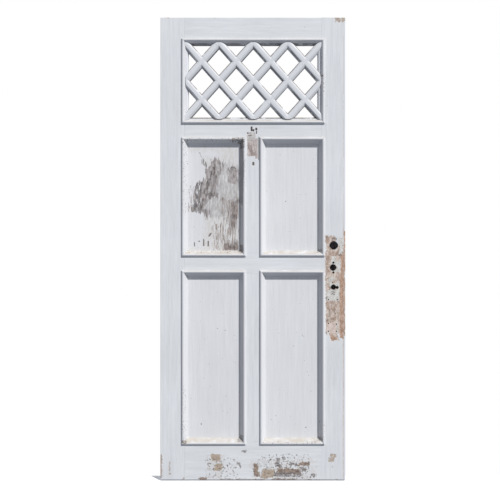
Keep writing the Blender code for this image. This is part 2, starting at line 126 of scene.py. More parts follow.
class DoorPaintSettings(PropertyGroup):
    """Colours and roughness of the old paint and of what shows through it."""

    frame_colour: colour_setting(
        "Frame paint", "Paint on stiles, rails and muntins", (0.790, 0.803, 0.808))
    panel_colour: colour_setting(
        "Panel paint", "Paint on the flat panels", (0.792, 0.791, 0.795))
    moulding_colour: colour_setting(
        "Moulding paint", "Paint on the raised mouldings", (0.715, 0.718, 0.725))
    lattice_colour: colour_setting(
        "Lattice paint", "Paint on the laths and their border", (0.770, 0.780, 0.795))
    dust_colour: colour_setting(
        "Settled dust", "Cream dirt on upward faces", (0.520, 0.475, 0.412))
    wood_colour: colour_setting(
        "Bare wood", "Wood where the paint is gone", (0.490, 0.350, 0.270))
    primer_colour: colour_setting(
        "Old primer", "Pinkish coat under the white paint", (0.620, 0.510, 0.450))
    # Besides dirt, this colour is painted shade in the rims round the bores and painted shadow at
    # a bead's foot
    grime_and_shade_colour: colour_setting(
        "Grime", "Dark dirt in scrapes, holes and corners", (0.115, 0.095, 0.085))
    roughness: FloatProperty(
        name="Roughness", description="Roughness of the paint",
        subtype="FACTOR", min=0, max=1, default=0.52)


class DoorShapeSettings(PropertyGroup):
    """Sizes of the finished surfaces."""

    edge_round: length_setting(
        "Edge round", "Rounding of the framing's edges", 0.0014)
    border_round: length_setting(
        "Border round", "Rounding of the strip under the lattice", 0.009)
    lath_chamfer: length_setting(
        "Lath chamfer", "Drop of the chamfer along the laths", 0.0085)
    waver: length_setting(
        "Hand waver", "How far hand-worked faces stray from true", 0.0004)
    segment: length_setting(
        "Segment", "Length of a mesh segment along a moulding", 0.012, 0.001)
    round_steps: IntProperty(
        name="Round steps", description="Points on a rounded stretch of a section",
        min=3, default=6)
    seed: IntProperty(name="Seed", description="Seed of the waver", default=7)


class DoorStageSettings(PropertyGroup):
    """Camera, lights and floor."""

    camera_distance: length_setting(
        "Camera distance", "From the camera to the door's face", 2.6, 0.5)
    view_width: length_setting(
        "View width", "Width of the view at the door's face", 2.1975, 0.5)
    view_shift: length_setting(
        "View shift", "From the door's middle to the view's middle", -0.0125, -1)
    view_height: length_setting(
        "View height", "Height of the camera above the bottom edge", 1.0100, -1)
    key_strength: FloatProperty(
        name="Key strength", description="Strength of the key light",
        min=0, default=3.70)
    back_strength: FloatProperty(
        name="Back strength", description="Strength of the soft light from behind",
        min=0, default=1.5)
    fill_colour: colour_setting(
        "Fill", "Colour of the soft fill from all round", (0.240, 0.258, 0.300))


# Marks of wear, and one line of painted shadow: left, right, bottom and top, in
# mm from the hinge edge and the bottom edge of the door, then a lean to the
# right per unit of height
KNOCKER_PAD = ((380, 418, 1490, 1528),)
KNOCKER_PRIMER = ((382, 426, 1422, 1491), (417, 428, 1412, 1500))
KNOCKER_STREAKS = ((393, 407, 1424, 1470, -0.2), (400, 418, 1424, 1440), (384, 392, 1452, 1482))
KNOCKER_CHIPS = (
    (397, 405, 1532, 1553), (405, 413, 1531, 1541), (417, 426, 1535, 1547),
    (420, 425, 1520, 1534), (381, 388, 1521, 1527), (384, 401, 1511, 1514))
# A dark line at the foot of the upper right panel's bead: painted shadow, deepened where the paint
# is gone
BEAD_FOOT_SHADOW_AND_WEAR = ((430, 434, 1404, 1508),)
KNOCKER_HOLE = ((404, 413, 1382, 1397),)
BOTTOM_PRIMER = ((395, 690, 0, 90), (205, 275, 0, 110))
BOTTOM_TAN = (
    (224, 262, 84, 114, -0.15), (741, 768, 78, 114, 0.4), (238, 270, 41, 70, 0.2),
    (447, 500, 9, 47, 0.3), (455, 470, 4, 20))
BOTTOM_BROWN = (
    (408, 429, 34, 72), (412, 436, 13, 38, -0.4), (511, 586, 26, 50), (586, 616, 20, 48),
    (600, 612, 58, 66), (612, 656, 62, 78, 0.3), (490, 600, -2, 5), (260, 460, -3, 3),
    (640, 720, -3, 2), (169, 205, -4, 10))
BOTTOM_GREY = (
    (506, 524, 58, 96, 0.1), (515, 533, 53, 70, -0.4), (618, 643, 37, 57), (500, 620, 13, 33),
    (538, 549, 88, 103, 0.3), (361, 377, 119, 131), (565, 588, 62, 78), (588, 602, 58, 74, -0.4),
    (342, 352, 54, 76, -0.5), (663, 682, 13, 27), (460, 466, 64, 72))
BOTTOM_SPECKS = ((200, 340, 8, 95), (430, 660, 8, 112))
LOCK_PEEL = (
    (727, 772, 1002, 1071, -0.1), (726, 806, 850, 1004), (727, 800, 640, 852),
    (742, 776, 612, 660, -0.5), (776, 806, 990, 1030))
LOCK_DARK = (
    (740, 806, 985, 1002), (729, 742, 1040, 1068), (729, 742, 914, 984), (745, 770, 700, 716),
    (736, 744, 735, 790), (728, 738, 690, 704), (752, 772, 742, 766), (728, 742, 772, 790))
LOCK_WOOD = (
    (789, 806, 622, 905), (794, 806, 905, 1000), (807, 812, 632, 1090), (748, 772, 612, 634, -0.4))
LOCK_PALE = (
    (750, 791, 914, 962), (753, 771, 958, 981), (731, 787, 787, 836), (737, 757, 864, 890, 0.4),
    (745, 775, 850, 862), (774, 788, 838, 873), (775, 779, 640, 694), (732, 740, 640, 652),
    (781, 805, 1026, 1064), (757, 766, 876, 892), (786, 803, 990, 1026, 0.2))
LOCK_GHOST = ((732, 774, 645, 692),)
LOCK_STAINS = (
    (726, 738, 1062, 1074), (755, 776, 1054, 1066), (726, 736, 796, 806), (727, 739, 698, 708),
    (742, 748, 716, 750), (752, 768, 812, 830), (762, 770, 730, 750), (726, 733, 640, 650),
    (786, 798, 984, 996), (744, 752, 838, 850), (758, 764, 700, 716))
LOCK_CHIPS = (
    (741, 768, 80, 113, 0.4), (766, 814, 2012, 2036), (752, 757, 54, 60), (772, 781, -3, 6))
LOCK_BORES = ((733, 796, 640, 1052),)
LOCK_EDGE_LINE = ((802.5, 805.5, 4, 1115),)
LOCK_EDGE_TOP = ((803, 805.5, 1115, 2030),)

# Dark rims round the bores, painted shade that makes each bore look wider
# than the solid bore: their middles and radii in mm. Three rectangles, with
# these shares of the radius, make each rim's eight-sided outline
RIM_CIRCLES = ((762, 1030.5, 19.3), (759, 933, 15.3), (761, 846.8, 12.3), (777, 845.4, 7.5))
RIM_SHARES = ((1, 0.42), (0.74, 0.74), (0.42, 1))
BORE_SHADE_RIMS = tuple(
    (x - radius * wide, x + radius * wide, z - radius * high, z + radius * high)
    for x, z, radius in RIM_CIRCLES for wide, high in RIM_SHARES)

HINGE_CHIPS = ((37, 44, 22, 78), (-2, 7, 10, 110), (20, 42, 2027, 2034), (96, 130, -3, 8))
SCRAPE_CREAM = (
    (190, 345, 1010, 1330), (262, 345, 1330, 1462), (110, 345, 1448, 1462), (200, 262, 1330, 1420),
    (110, 345, 1004, 1016))
SCRAPE_SOFT = (
    (196, 302, 1150, 1244, 0.1), (232, 284, 1240, 1400, 0.28), (292, 343, 1300, 1376),
    (176, 212, 1180, 1300, 0.2), (282, 342, 1006, 1056), (300, 342, 1090, 1240, 0.1),
    (250, 343, 1225, 1310, 0.22))
SCRAPE_MID = (
    (190, 256, 1238, 1396, 0.32), (178, 206, 1180, 1290, 0.25), (200, 212, 1150, 1200, 0.2),
    (294, 343, 1302, 1374, 0.05), (308, 340, 1104, 1232, 0.1), (284, 342, 1006, 1042),
    (225, 258, 1384, 1414))
SCRAPE_DARK = (
    (146, 176, 1178, 1312, 0.16), (172, 188, 1172, 1240, 0.3), (284, 342, 1008, 1038),
    (182, 192, 1388, 1416, -0.3), (232, 240, 1340, 1412, 0.1), (196, 203, 1350, 1396),
    (172, 179, 1416, 1436, -0.45), (196, 254, 1240, 1262), (297, 334, 1366, 1374),
    (212, 222, 1270, 1380, 0.3), (236, 243, 1262, 1370, 0.3), (196, 206, 1256, 1330, 0.3),
    (318, 334, 1120, 1226), (192, 206, 1158, 1186))
SCRAPE_STREAKS = ((232, 342, 1006, 1125), (268, 342, 1110, 1250), (118, 150, 1180, 1290))
SCRAPE_FLECKS = (
    (146, 151, 1026, 1044), (186, 192, 1028, 1058), (206, 213, 1026, 1050),
    (212, 222, 1070, 1086, 0.5), (166, 172, 1046, 1052), (176, 181, 238, 243))
SLOPE_GRIME = (
    (343, 366, 1330, 1488, -0.04), (343, 366, 1210, 1400, 0.05), (340, 366, 1002, 1030, -0.1),
    (343, 352, 1002, 1488), (340, 366, 168, 196), (690, 712, 168, 190), (690, 712, 1000, 1012))
PANEL_DOTS = ((176, 181, 238, 243), (638, 643, 223, 228), (550, 554, 1223, 1227))
BEAD_FLECKS = (
    (92, 116, 1160, 1506), (92, 112, 165, 420), (364, 374, 1290, 1508), (100, 364, 1488, 1506),
    (692, 724, 165, 260), (100, 360, 995, 1012), (450, 720, 153, 170), (702, 724, 1700, 1800))
BEAD_STAINS = (
    (96, 118, 160, 175), (640, 656, 164, 168), (662, 672, 163, 167), (676, 690, 164, 169),
    (706, 719, 1767, 1780), (316, 350, 1484, 1506), (348, 372, 1455, 1506),
    (344, 362, 1000, 1038, -0.2))


def add_node(tree, kind, values=None, **settings):
    """Add a node, set its options, and fill or link its inputs."""
    node = tree.nodes.new(kind)
    for name, value in settings.items():
        setattr(node, name, value)
    for name, value in (values or {}).items():
        if isinstance(value, bpy.types.NodeSocket):
            tree.links.new(value, node.inputs[name])
        else:
            node.inputs[name].default_value = value
    return node


def calc(tree, operation, *values, clamp=False):
    """A Math node's result."""
    node = add_node(
        tree, "ShaderNodeMath", dict(enumerate(values)), operation=operation, use_clamp=clamp)
    return node.outputs[0]


def vector_calc(tree, operation, *values):
    """A Vector Math node's result."""
    node = add_node(
        tree, "ShaderNodeVectorMath", dict(enumerate(values)), operation=operation)
    return node.outputs[0]


def ramp(tree, value, start, end):
    """A smooth step from 0 at one value to 1 at another."""
    node = add_node(
        tree, "ShaderNodeMapRange",
        {"Value": value, "From Min": start, "From Max": end},
        interpolation_type="SMOOTHSTEP")
    return node.outputs["Result"]


def blend(tree, factor, first, second, mode="MIX"):
    """Two colours mixed by a factor."""
    node = add_node(
        tree, "ShaderNodeMix", {0: factor, 6: first, 7: second}, data_type="RGBA", blend_type=mode)
    return node.outputs[2]


def split(tree, vector):
    """X, Y and Z of a vector."""
    return add_node(tree, "ShaderNodeSeparateXYZ", {0: vector}).outputs


def joined(tree, parts):
    """A vector from the parts that are given by their axis."""
    return add_node(tree, "ShaderNodeCombineXYZ", parts).outputs[0]


def product(tree, first, *others):
    """Numbers multiplied together."""
    for other in others:
        first = calc(tree, "MULTIPLY", first, other)
    return first


def noise(tree, coordinates, scale, detail=3.0, roughness=0.55):
    """Noise with its own scale on each axis, about 0.5 on average."""
    stretched = vector_calc(tree, "MULTIPLY", coordinates, scale)
    node = add_node(
        tree, "ShaderNodeTexNoise",
        {"Vector": stretched, "Scale": 1.0, "Detail": detail, "Roughness": roughness})
    return node.outputs[0]


# A group's socket by the count of numbers that it holds
SOCKET_KINDS = {1: "NodeSocketFloat", 3: "NodeSocketVector", 4: "NodeSocketColor"}


def new_group(name, inputs, outputs):
    """An empty shader node group. Its inputs are given by their defaults, and
    its outputs by how many numbers they hold."""
    tree = bpy.data.node_groups.new(name, "ShaderNodeTree")
    for label, default in inputs.items():
        count = len(default) if isinstance(default, tuple) else 1
        tree.interface.new_socket(
            label, in_out="INPUT", socket_type=SOCKET_KINDS[count]).default_value = default
    for label, count in outputs.items():
        tree.interface.new_socket(label, in_out="OUTPUT", socket_type=SOCKET_KINDS[count])
    entry = tree.nodes.new("NodeGroupInput")
    leave = tree.nodes.new("NodeGroupOutput")
    return tree, entry.outputs, leave.inputs


def place_group(tree, name, values):
    """Use a shader node group in a tree."""
    return add_node(
        tree, "ShaderNodeGroup", values, node_tree=bpy.data.node_groups[name]).outputs


# Grains, as noise scales on each axis
UPRIGHT_GRAIN = (260, 260, 15)
LEVEL_GRAIN = (15, 260, 260)
UPRIGHT_WOOD = (420, 420, 24)
LEVEL_WOOD = (24, 420, 420)
CHIP_GRAIN = 170

# How far a chip's edge strays, and how far the streaks show on each finish
CHIP_EDGE = 0.026
FRAME_STREAK = 0.24
PANEL_STREAK = 0.16
MOULDING_STREAK = 0.08

# Marks reach this far behind the face that they lie on. The bores' walls get
# painted shade: they darken from a lip at the face, and are dark from a depth on.
MARK_DEPTH = 0.004
BORE_LIP = 0.0008
BORE_DARK = 0.005

# Defaults of the groups, the distance of a patch that isn't there, and the
# roundness of a patch's corners
ORIGIN = (0, 0, 0)
MID_GREY = (0.5, 0.5, 0.5, 1)
FAR = 1.0
BOX_CORNER = 0.004


def build_paint_group():
    """Brushed paint: streaks along the grain, slow drifts of tone, fine grit."""
    tree, given, result = new_group("brushed_paint", {
        "Coordinates": ORIGIN, "Colour": MID_GREY, "Grain": UPRIGHT_GRAIN, "Streak": 0.1,
        "Roughness": 0.5}, {"Color": 4, "Roughness": 1, "Height": 1})
    place = given["Coordinates"]
    streak = noise(tree, place, given["Grain"], 5, 0.62)
    half_grain = vector_calc(tree, "MULTIPLY", given["Grain"], (0.3, 0.3, 0.3))
    long_streak = noise(tree, place, half_grain, 3, 0.5)
    drift = noise(tree, place, (3.1, 3.1, 2.3), 2, 0.5)
    warm = noise(tree, place, (11, 11, 7), 2, 0.5)
    grit = noise(tree, place, (900, 900, 900), 2, 0.5)
    tone = calc(tree, "ADD", streak, long_streak)
    tone = calc(tree, "ADD", tone, calc(tree, "MULTIPLY", drift, 0.8))
    tone = calc(tree, "SUBTRACT", tone, 1.4)
    tone = calc(tree, "MULTIPLY_ADD", tone, given["Streak"], 1.0)
    toned = add_node(
        tree, "ShaderNodeVectorMath", {0: given["Colour"], "Scale": tone}, operation="SCALE")
    tint = blend(tree, warm, (1.010, 0.997, 0.988, 1), (0.990, 1.0, 1.012, 1))
    tree.links.new(blend(tree, 1.0, toned.outputs[0], tint, "MULTIPLY"), result["Color"])
    rough = calc(tree, "MULTIPLY_ADD", streak, 0.18, given["Roughness"])
    tree.links.new(rough, result["Roughness"])
    height = calc(tree, "MULTIPLY_ADD", grit, 0.12, calc(tree, "MULTIPLY", streak, 0.8))
    tree.links.new(height, result["Height"])


def build_ragged_group():
    """Places pushed about by noise, which makes straight edges ragged. X and
    Z of the place come out as numbers."""
    tree, given, result = new_group("ragged_place", {
        "Coordinates": ORIGIN, "Amount": (0.01, 0, 0.01), "Grain": (90, 90, 90)}, {"X": 1, "Z": 1})
    place = given["Coordinates"]
    field = add_node(
        tree, "ShaderNodeTexNoise",
        {"Vector": vector_calc(tree, "MULTIPLY", place, given["Grain"]), "Scale": 1.0,
         "Detail": 4.0, "Roughness": 0.55}).outputs["Color"]
    push = vector_calc(tree, "MULTIPLY", vector_calc(
        tree, "SUBTRACT", field, (0.5, 0.5, 0.5)), given["Amount"])
    moved = split(tree, vector_calc(tree, "ADD", place, push))
    tree.links.new(moved[0], result["X"])
    tree.links.new(moved[2], result["Z"])


def build_box_group():
    """Distance in the door's plane from the edge of a leaning rectangle, less
    than 0 inside it, or the given distance where that is less."""
    tree, given, result = new_group("box_distance", {
        "X": 0.0, "Z": 0.0, "Centre X": 0.0, "Centre Z": 0.0, "Half Width": 0.01,
        "Half Height": 0.01, "Lean": 0.0, "Other": FAR}, {"Distance": 1})
    rise = calc(tree, "SUBTRACT", given["Z"], given["Centre Z"])
    shift = calc(tree, "MULTIPLY_ADD", rise, given["Lean"], given["Centre X"])
    across = calc(tree, "ABSOLUTE", calc(tree, "SUBTRACT", given["X"], shift))
    across = calc(tree, "SUBTRACT", across, given["Half Width"])
    along = calc(tree, "SUBTRACT", calc(tree, "ABSOLUTE", rise), given["Half Height"])
    distance = calc(tree, "SMOOTH_MAX", across, along, BOX_CORNER)
    tree.links.new(calc(tree, "MINIMUM", distance, given["Other"]), result["Distance"])


def build_patch_group():
    """Mask of a patch from its distance, with gaps in it, and only in front
    of a level."""
    tree, given, result = new_group("patch_mask", {
        "Coordinates": ORIGIN, "Distance": 0.0, "Softness": 0.001, "Gaps": 0.0,
        "Grain": (200, 200, 200), "Reach": 0.0}, {"Mask": 1})
    place = given["Coordinates"]
    body = calc(tree, "SUBTRACT", 0.5, calc(
        tree, "DIVIDE", given["Distance"], given["Softness"]), clamp=True)
    fine = noise(tree, place, given["Grain"], 4, 0.62)
    kept = ramp(tree, calc(tree, "SUBTRACT", fine, given["Gaps"]), -0.015, 0.015)
    front = calc(tree, "LESS_THAN", split(tree, place)[1], given["Reach"])
    tree.links.new(product(tree, body, kept, front), result["Mask"])


def build_mottle_group():
    """Two tones and a third between them, mottled along a grain."""
    tree, given, result = new_group("mottled", {
        "Coordinates": ORIGIN, "Light": MID_GREY, "Dark": MID_GREY, "Grain": UPRIGHT_WOOD},
        {"Color": 4})
    place = given["Coordinates"]
    grain = noise(tree, place, given["Grain"], 5, 0.65)
    blotch = noise(tree, place, (75, 75, 50), 4, 0.6)
    tone = calc(tree, "MULTIPLY", calc(tree, "ADD", grain, blotch), 0.5)
    tree.links.new(
        blend(tree, ramp(tree, tone, 0.43, 0.58), given["Light"], given["Dark"]), result["Color"])


def build_dust_group():
    """Cream dust and washed-down dirt on faces that look upwards."""
    tree, given, result = new_group("settled_dust", {
        "Coordinates": ORIGIN, "Color": MID_GREY, "Dust": MID_GREY, "Amount": 0.5}, {"Color": 4})
    normal = add_node(tree, "ShaderNodeNewGeometry").outputs["Normal"]
    upward = ramp(tree, split(tree, normal)[2], 0.35, 0.85)
    cloud = ramp(tree, noise(tree, given["Coordinates"], (26, 26, 60), 4, 0.6), 0.20, 0.62)
    amount = product(tree, upward, cloud, given["Amount"])
    tree.links.new(blend(tree, amount, given["Color"], given["Dust"]), result["Color"])


def rgba(colour):
    """A colour setting as a socket value."""
    return (*colour, 1.0)


def on_axes(value, count=3):
    """A number as the same value on each axis. A tuple stays as it is."""
    return value if isinstance(value, tuple) else (value,) * count


def scaled(colour, factor):
    """A colour made darker or lighter."""
    return tuple(channel * factor for channel in colour)


# How much narrower the painted shade is on slopes that look right and down
NARROWER_SLOPE_SHADE = 0.0030


class Finish:
    """The layers of one painted finish, from the paint outwards."""

    def __init__(self, name, paint, colour, streak, level, face):
        self.paint = paint
        self.reach = face + MARK_DEPTH
        self.wood_grain = LEVEL_WOOD if level else UPRIGHT_WOOD
        self.material = bpy.data.materials.new(name)
        self.material.use_nodes = True
        self.tree = self.material.node_tree
        self.place = add_node(self.tree, "ShaderNodeTexCoord").outputs["Object"]
        coat = self.group("brushed_paint", {
            "Colour": rgba(getattr(paint, colour)), "Streak": streak,
            "Grain": LEVEL_GRAIN if level else UPRIGHT_GRAIN, "Roughness": paint.roughness})
        self.colour = coat["Color"]
        self.rough = coat["Roughness"]
        self.height = coat["Height"]

    def group(self, name, values):
        """A node group's results at this finish's place."""
        return place_group(self.tree, name, {"Coordinates": self.place, **values})

    def patches(self, marks, ragged=0.008, scale=120, gaps=0.0, grain=200, soft=0.0008,
                reach=None):
        """The union of patches, of wear and in a few places of painted shade,
        from their edges in mm. Ragged is how far the edges stray, across and up,
        and scale how fine they are. Gaps and grain are the share and the fineness
        of the holes in a patch."""
        across, high = on_axes(ragged, 2)
        place = self.group(
            "ragged_place", {"Amount": (across, 0, high), "Grain": on_axes(scale)})
        union = FAR
        for left, right, bottom, top, *lean in marks:
            union = place_group(self.tree, "box_distance", {
                "X": place["X"], "Z": place["Z"],
                "Centre X": HINGE_EDGE + (left + right) / 2000,
                "Centre Z": FLOOR + (bottom + top) / 2000,
                "Half Width": (right - left) / 2000, "Half Height": (top - bottom) / 2000,
                "Lean": lean[0] if lean else 0.0, "Other": union})["Distance"]
        return self.group("patch_mask", {
            "Distance": union, "Softness": soft, "Gaps": gaps, "Grain": on_axes(grain),
            "Reach": reach or self.reach})["Mask"]

    def lay(self, mask, colour, depth=0.0, share=1.0):
        """Cover the finish by a colour where the mask is 1, sunk by a depth."""
        if share < 1.0:
            mask = calc(self.tree, "MULTIPLY", mask, share)
        self.colour = blend(self.tree, mask, self.colour, colour)
        if depth:
            sunk = calc(self.tree, "MULTIPLY", mask, depth)
            self.height = calc(self.tree, "SUBTRACT", self.height, sunk)

    def mottled(self, light, dark, grain=None):
        """A surface mottled between two tones."""
        return self.group("mottled", {
            "Light": rgba(light), "Dark": rgba(dark),
            "Grain": on_axes(grain or self.wood_grain)})["Color"]

    def add_marks(self, marks, tones, depth=0.0, share=1.0, **edge):
        """Lay one tone, or two mottled ones, over patches of wear, and in a few places of painted
        shade.
        """
        mask = self.patches(marks, **edge)
        self.lay(mask, self.mottled(*tones) if len(tones) > 1 else rgba(tones[0]), depth, share)

    def flyspecks(self):
        """A few fine dark specks all over."""
        specks = ramp(self.tree, noise(self.tree, self.place, (150,) * 3, 2, 0.5), 0.745, 0.77)
        self.lay(specks, rgba(self.paint.grime_and_shade_colour), 0.5)

    def dust(self, amount):
        """Dust on the faces that look upwards."""
        self.colour = self.group("settled_dust", {
            "Color": self.colour, "Dust": rgba(self.paint.dust_colour),
            "Amount": amount})["Color"]

    def shade_and_dirt_on_slopes(self, rise, level, fade, colour, share):
        """Darken the rear of slopes that look up, or down for a negative
        rise, behind a level, with gaps in it: painted shade on slopes that
        look down, dirt on slopes that look up. It is narrower on slopes that
        look right and down."""
        tree = self.tree
        lean = split(tree, add_node(tree, "ShaderNodeNewGeometry").outputs["Normal"])
        right_lower = product(
            tree, ramp(tree, lean[0], 0.15, 0.35), ramp(tree, lean[2], -0.05, -0.25))
        facing = ramp(tree, lean[2], rise / 2, rise)
        depth = calc(
            tree, "MULTIPLY_ADD", right_lower, -NARROWER_SLOPE_SHADE, split(tree, self.place)[1])
        behind = ramp(tree, depth, level, level + fade)
        patchy = ramp(tree, noise(tree, self.place, (28, 28, 28), 3), 0.30, 0.52)
        self.lay(product(tree, behind, facing, patchy), rgba(colour), 0.0, share)

    def done(self, dust=0.0):
        """Add the specks and some dust, and join the layers to the shader."""
        self.flyspecks()
        if dust:
            self.dust(dust)
        bump = add_node(self.tree, "ShaderNodeBump", {
            "Height": self.height, "Strength": 0.5, "Distance": 0.0005})
        surface = self.tree.nodes["Principled BSDF"].inputs
        surface["Specular IOR Level"].default_value = 0.35
        for result, label in (
                (self.colour, "Base Color"), (self.rough, "Roughness"),
                (bump.outputs["Normal"], "Normal")):
            self.tree.links.new(result, surface[label])


def plain_frame_wear(finish, paint):
    """Paint on the hinge stile, the top and lock rails and the lower muntin."""
    wood = paint.wood_colour
    finish.add_marks(
        HINGE_CHIPS, (wood, scaled(wood, 0.65)), 1.2, 0.8,
        ragged=CHIP_EDGE, scale=CHIP_GRAIN, gaps=0.42)
    finish.done(0.25)


def bottom_rail_wear(finish, paint):
    """Paint on the bottom rail, flaked off near the bottom edge."""
    finish.add_marks(
        BOTTOM_PRIMER, (paint.primer_colour,), 0.3, 0.25,
        ragged=0.05, scale=40, gaps=0.47, grain=60)
    for marks, tones, depth, gaps in (
            (BOTTOM_TAN, ((0.56, 0.46, 0.36), (0.43, 0.34, 0.265)), 1.2, 0.30),
            (BOTTOM_BROWN, ((0.42, 0.32, 0.25), (0.22, 0.16, 0.13), CHIP_GRAIN), 1.4, 0.36),
            (BOTTOM_GREY, ((0.36, 0.325, 0.31), (0.17, 0.155, 0.155), CHIP_GRAIN), 1.4, 0.43)):
        finish.add_marks(marks, tones, depth, ragged=CHIP_EDGE, scale=CHIP_GRAIN, gaps=gaps)
    finish.add_marks(
        BOTTOM_SPECKS, ((0.30, 0.24, 0.20), (0.13, 0.105, 0.09)), 1.2,
        ragged=0.03, scale=90, gaps=0.58, grain=115, soft=0.004)
    finish.done(0.3)


def knocker_wear_and_shadow(finish, paint):
    """Paint on the frieze rail and the upper muntin, with the mark that a
    knocker has left on both, and a dark line of painted shadow, partly paint
    loss, at the foot of a bead."""
    grime_and_shade = paint.grime_and_shade_colour
    finish.add_marks(
        KNOCKER_PAD, ((0.72, 0.69, 0.66), (0.52, 0.48, 0.46), CHIP_GRAIN), 0.5,
        ragged=0.004, gaps=0.30)
    finish.add_marks(
        KNOCKER_PRIMER, ((0.66, 0.59, 0.56), (0.45, 0.385, 0.36), UPRIGHT_WOOD), 1.0,
        ragged=0.005)
    finish.add_marks(
        KNOCKER_STREAKS, ((0.30, 0.235, 0.21),), 0.5, 0.8,
        ragged=CHIP_EDGE, scale=CHIP_GRAIN, gaps=0.40)
    finish.add_marks(KNOCKER_CHIPS, (scaled(grime_and_shade, 0.7),), 1.5, ragged=0.004, scale=220)
    # Painted shadow along the bead's foot, partly where the paint is gone
    finish.add_marks(BEAD_FOOT_SHADOW_AND_WEAR, (grime_and_shade,), 0.6, 0.7, ragged=0.003, gaps=0.35)
    finish.add_marks(KNOCKER_HOLE, (scaled(grime_and_shade, 1.3),), 2, ragged=0.002)
    finish.done()


def lock_stile_wear_and_bore_shade(finish, paint):
    """Paint on the lock stile, peeled round the empty lock bores, with
    painted shade round the bores and inside them.
    """
    wood = paint.wood_colour
    grime_and_shade = paint.grime_and_shade_colour
    finish.add_marks(
        LOCK_EDGE_LINE, ((0.66, 0.58, 0.53), wood), 0.3, 0.75,
        ragged=(0.002, 0), scale=60, gaps=0.36, grain=30, soft=0.0015)
    finish.add_marks(
        LOCK_EDGE_TOP, (paint.primer_colour,), 0.2, 0.45,
        ragged=(0.002, 0), scale=60, gaps=0.44, grain=20, soft=0.0015)
    finish.add_marks(
        LOCK_PEEL, ((0.74, 0.635, 0.555), (0.45, 0.335, 0.265), (230, 230, 120)), 0.9,
        ragged=(0.028, 0.034), scale=(110, 110, 80), gaps=0.36, grain=(150, 150, 120))
    finish.add_marks(
        LOCK_DARK, (wood, scaled(wood, 0.75)), 0.2, 0.8, ragged=0.016,
        scale=(90, 90, 70), gaps=0.45, grain=(140, 140, 90), soft=0.003)
    finish.add_marks(
        LOCK_WOOD, ((0.62, 0.42, 0.31), (0.40, 0.25, 0.17), (300, 300, 40)), 1.2,
        ragged=(0.020, 0.040), scale=(120, 120, 50), gaps=0.37, grain=(240, 240, 60))
    finish.add_marks(
        LOCK_GHOST, ((0.80, 0.67, 0.60), (0.63, 0.50, 0.44), CHIP_GRAIN), 0.2,
        ragged=0.003, gaps=0.34)
    finish.add_marks(
        LOCK_PALE, ((0.78, 0.77, 0.735), (0.62, 0.595, 0.54), CHIP_GRAIN), -0.8,
        ragged=0.010, scale=150, gaps=0.40)
    finish.add_marks(
        LOCK_STAINS, (scaled(grime_and_shade, 1.4),), 0.5, 0.8,
        ragged=CHIP_EDGE, scale=220, gaps=0.47, grain=260)
    finish.add_marks(
        LOCK_CHIPS, ((0.58, 0.48, 0.39), (0.42, 0.33, 0.27)), 1.2,
        ragged=CHIP_EDGE, scale=CHIP_GRAIN, gaps=0.42)
    # Painted shade: dark rims that make the bores look wider
    finish.add_marks(BORE_SHADE_RIMS, (scaled(grime_and_shade, 0.9),), 0.5, 0.88, ragged=0.002)
    # Painted shade inside the bores: darker with depth, mottled between a brown and near black
    sunk = ramp(
        finish.tree, split(finish.tree, finish.place)[1], FACE + BORE_LIP, FACE + BORE_DARK)
    bores = finish.patches(LOCK_BORES, ragged=0, reach=REAR - BORE_LIP)
    finish.lay(
        product(finish.tree, sunk, bores),
        finish.mottled((0.26, 0.215, 0.205), (0.045, 0.040, 0.040)))
    finish.done(0.2)


def panel_wear(finish, paint):
    """Paint on a flat panel, with the odd dark dot."""
    finish.add_marks(PANEL_DOTS, (paint.grime_and_shade_colour,), 1.0, ragged=0.002)
    finish.done()


def scraped_panel_wear(finish, paint):
    """Paint on the upper left panel, scraped through in upright streaks."""
    finish.add_marks(
        SCRAPE_CREAM, ((0.775, 0.765, 0.755), (0.70, 0.665, 0.62)), 0.3, 0.85,
        ragged=(0.05, 0.06), scale=(30, 30, 18), gaps=0.36, grain=(90, 90, 18), soft=0.02)
    finish.add_marks(
        SCRAPE_SOFT, ((0.60, 0.585, 0.57), (0.46, 0.44, 0.43)), 0.5, 0.85,
        ragged=(0.045, 0.090), scale=(110, 110, 26), gaps=0.41, grain=(200, 200, 22),
        soft=0.006)
    finish.add_marks(
        SCRAPE_MID, ((0.48, 0.43, 0.415), (0.26, 0.225, 0.215)), 0.8, 0.92,
        ragged=(0.040, 0.090), scale=(150, 150, 26), gaps=0.43, grain=(220, 220, 26),
        soft=0.003)
    finish.add_marks(
        SCRAPE_DARK, ((0.29, 0.26, 0.25), (0.11, 0.09, 0.085)), 0.9, 0.9,
        ragged=(0.024, 0.060), scale=(150, 150, 40), gaps=0.43, grain=(250, 250, 34),
        soft=0.002)
    finish.add_marks(
        SCRAPE_STREAKS, ((0.42, 0.34, 0.29), (0.20, 0.15, 0.125)), 0.8, 0.9,
        ragged=(0.045, 0.080), scale=(110, 110, 26), gaps=0.53, grain=(260, 260, 22),
        soft=0.004)
    finish.add_marks(
        SCRAPE_FLECKS, (scaled(paint.grime_and_shade_colour, 1.5),), 0.9, 0.9,
        ragged=(0.004, 0.010), scale=(150, 150, 60))
    finish.done()


def moulding_wear(finish, paint):
    """Paint on the raised mouldings, dusty on the upward slopes."""
    finish.dust(0.92)
    finish.add_marks(
        SLOPE_GRIME, ((0.24, 0.225, 0.22),), 0.0, 0.6, ragged=(0.012, 0.04),
        scale=(90, 90, 30), gaps=0.36, soft=0.004)
    finish.add_marks(
        BEAD_FLECKS, ((0.38, 0.30, 0.24), (0.16, 0.12, 0.10), CHIP_GRAIN), 0.6, 0.9,
        ragged=0.03, scale=90, gaps=0.61, grain=CHIP_GRAIN, soft=0.004)
    finish.add_marks(
        BEAD_STAINS, ((0.34, 0.27, 0.22), paint.grime_and_shade_colour, CHIP_GRAIN), 0.6, 0.9,
        ragged=0.03, scale=200, gaps=0.49)
    finish.done()


